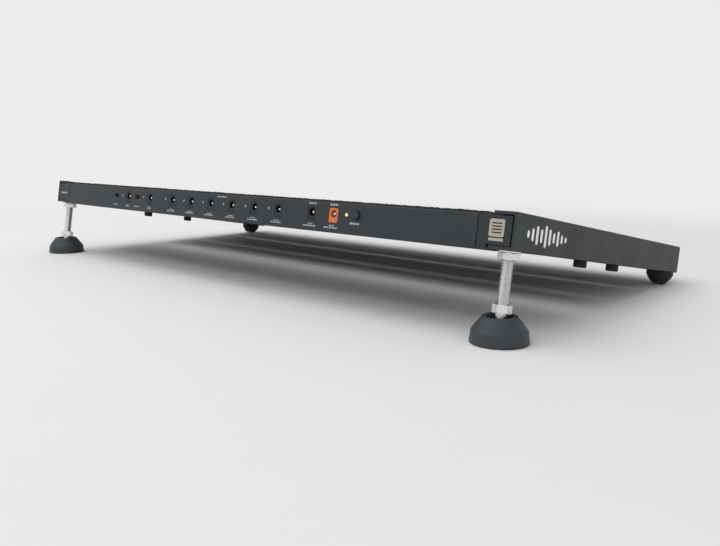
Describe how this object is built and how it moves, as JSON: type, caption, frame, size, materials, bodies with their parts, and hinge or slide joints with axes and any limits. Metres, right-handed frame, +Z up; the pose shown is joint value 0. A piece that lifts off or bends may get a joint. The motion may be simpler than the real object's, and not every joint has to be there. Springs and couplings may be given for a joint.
{
  "type": "pedalboard",
  "caption": "Pitched aluminium pedalboard with cross rails topped in loop fabric, a rear power bar with DC sockets, and screw-adjustable swivel feet.",
  "frame": {"origin": "on the floor, at the centre of the object's bounding box", "axes": "+X along the width, +Y from the socket side to the player's side, +Z up; the board is pitched 9.6 degrees about X, socket side raised"},
  "size_m": [0.62, 0.316, 0.0825],
  "materials": {
    "frame_coating": "extruded aluminium with a satin anthracite powder coat",
    "corner_plastic": "fine-textured moulded plastic, anthracite",
    "loop_fabric": "black loop pile",
    "jack_black": "moulded black plastic",
    "jack_orange": "moulded orange plastic",
    "contact_metal": "bright plated contact",
    "led_lens": "frosted lens",
    "power_led_lens": "lit lens, warm yellow",
    "circuit_board": "solder-masked laminate",
    "module_black": "black moulded modules and switches",
    "zinc_steel": "bright zinc plate",
    "black_steel": "black oxide",
    "foot_plastic": "fine-textured nylon, dark grey",
    "rubber_black": "moulded rubber",
    "white_nylon": "natural nylon"
  },
  "bodies": {
    "frame": {"side_rail_left": "frame_coating", "side_rail_right": "frame_coating", "rear_corner_left": "corner_plastic", "rear_corner_right": "corner_plastic", "front_corner_left": "corner_plastic", "front_corner_right": "corner_plastic", "foot_inserts": "zinc_steel", "power_bar_housing": "frame_coating", "power_bar_circuit_board": "circuit_board", "power_modules": "module_black", "output_jack_1": "jack_black", "output_jack_2": "jack_black", "output_jack_3": "jack_black", "output_jack_4": "jack_black", "output_jack_5": "jack_black", "output_jack_6": "jack_black", "output_jack_7": "jack_black", "output_jack_8": "jack_black", "link_jack": "jack_black", "input_jack": "jack_orange", "jack_pins": "contact_metal", "status_leds": "led_lens", "power_led": "power_led_lens", "power_switch_body": "jack_black", "slide_switch_bodies": "module_black", "rear_cross_rail": "frame_coating", "rear_rail_end_blocks": "corner_plastic", "fixed_rail_screws": "black_steel", "loop_strip_rear_rail": "loop_fabric", "front_cross_rail": "frame_coating", "loop_strip_front_rail": "loop_fabric", "loop_strip_power_bar": "loop_fabric", "rubber_foot_left": "rubber_black", "rubber_foot_right": "rubber_black", "rubber_foot_screws": "zinc_steel"},
    "sliding_rail_a": {"sliding_cross_rail_a": "frame_coating", "sliding_rail_a_end_blocks": "corner_plastic", "loop_strip_sliding_rail_a": "loop_fabric", "clamp_screws_a": "black_steel"},
    "sliding_rail_b": {"sliding_cross_rail_b": "frame_coating", "sliding_rail_b_end_blocks": "corner_plastic", "loop_strip_sliding_rail_b": "loop_fabric", "clamp_screws_b": "black_steel"},
    "power_button": {"power_button": "corner_plastic"},
    "slide_switch_1": {"slide_switch_knob_1": "module_black"},
    "slide_switch_2": {"slide_switch_knob_2": "module_black"},
    "foot_ball_cup_left": {"foot_ball_cup_left": "white_nylon"},
    "foot_spindle_left": {"foot_spindle_left": "zinc_steel"},
    "foot_base_left": {"foot_base_left": "foot_plastic", "foot_pad_left": "rubber_black"},
    "foot_washer_left": {"foot_washer_left": "zinc_steel"},
    "foot_jam_nut_left": {"foot_jam_nut_left": "zinc_steel"},
    "foot_ball_cup_right": {"foot_ball_cup_right": "white_nylon"},
    "foot_spindle_right": {"foot_spindle_right": "zinc_steel"},
    "foot_base_right": {"foot_base_right": "foot_plastic", "foot_pad_right": "rubber_black"},
    "foot_washer_right": {"foot_washer_right": "zinc_steel"},
    "foot_jam_nut_right": {"foot_jam_nut_right": "zinc_steel"}
  },
  "joints": [
    {"name": "rail_a_slide", "type": "slide", "parent": "frame", "child": "sliding_rail_a", "axis": [0, 0.986, -0.1668], "range_m": [-0.0165, 0.0022]},
    {"name": "rail_b_slide", "type": "slide", "parent": "frame", "child": "sliding_rail_b", "axis": [0, 0.986, -0.1668], "range_m": [-0.0022, 0.005]},
    {"name": "power_button_press", "type": "slide", "parent": "frame", "child": "power_button", "axis": [0, 0.986, -0.1668], "range_m": [0, 0.002], "stiffness_N_per_m": 600, "springref_m": -0.001},
    {"name": "slide_switch_1_throw", "type": "slide", "parent": "frame", "child": "slide_switch_1", "axis": [1, 0, 0], "range_m": [0, 0.0036]},
    {"name": "slide_switch_2_throw", "type": "slide", "parent": "frame", "child": "slide_switch_2", "axis": [1, 0, 0], "range_m": [0, 0.0036]},
    {"name": "foot_left_height", "type": "slide", "parent": "frame", "child": "foot_ball_cup_left", "axis": [0, 0.1668, 0.986], "range_m": [-0.004, 0.009]},
    {"name": "foot_left_screw", "type": "hinge", "parent": "foot_ball_cup_left", "child": "foot_spindle_left", "pos_m": [-0.291, -0.13899, 0.0095], "axis": [0, 0.1668, 0.986], "range_deg": [-1155, 2595]},
    {"name": "foot_left_swivel", "type": "hinge", "parent": "foot_ball_cup_left", "child": "foot_base_left", "pos_m": [-0.291, -0.13899, 0.0095], "axis": [1, 0, 0], "range_deg": [-19, 4]},
    {"name": "foot_left_washer_drop", "type": "slide", "parent": "frame", "child": "foot_washer_left", "axis": [0, -0.1668, -0.986], "range_m": [0, 0.005]},
    {"name": "foot_left_jam_nut", "type": "hinge", "parent": "foot_washer_left", "child": "foot_jam_nut_left", "pos_m": [-0.291, -0.13096, 0.05697], "axis": [0, -0.1668, -0.986], "range_deg": [0, 1443]},
    {"name": "foot_right_height", "type": "slide", "parent": "frame", "child": "foot_ball_cup_right", "axis": [0, 0.1668, 0.986], "range_m": [-0.004, 0.009]},
    {"name": "foot_right_screw", "type": "hinge", "parent": "foot_ball_cup_right", "child": "foot_spindle_right", "pos_m": [0.291, -0.13899, 0.0095], "axis": [0, 0.1668, 0.986], "range_deg": [-1155, 2595]},
    {"name": "foot_right_swivel", "type": "hinge", "parent": "foot_ball_cup_right", "child": "foot_base_right", "pos_m": [0.291, -0.13899, 0.0095], "axis": [1, 0, 0], "range_deg": [-19, 4]},
    {"name": "foot_right_washer_drop", "type": "slide", "parent": "frame", "child": "foot_washer_right", "axis": [0, -0.1668, -0.986], "range_m": [0, 0.005]},
    {"name": "foot_right_jam_nut", "type": "hinge", "parent": "foot_washer_right", "child": "foot_jam_nut_right", "pos_m": [0.291, -0.13096, 0.05697], "axis": [0, -0.1668, -0.986], "range_deg": [0, 1443]}
  ],
  "couplings": [
    {"joint": "foot_left_screw", "follows": "foot_left_height", "rad_per_m": 5026.5},
    {"joint": "foot_left_jam_nut", "follows": "foot_left_washer_drop", "rad_per_m": 5026.5},
    {"joint": "foot_right_screw", "follows": "foot_right_height", "rad_per_m": 5026.5},
    {"joint": "foot_right_jam_nut", "follows": "foot_right_washer_drop", "rad_per_m": 5026.5}
  ]
}
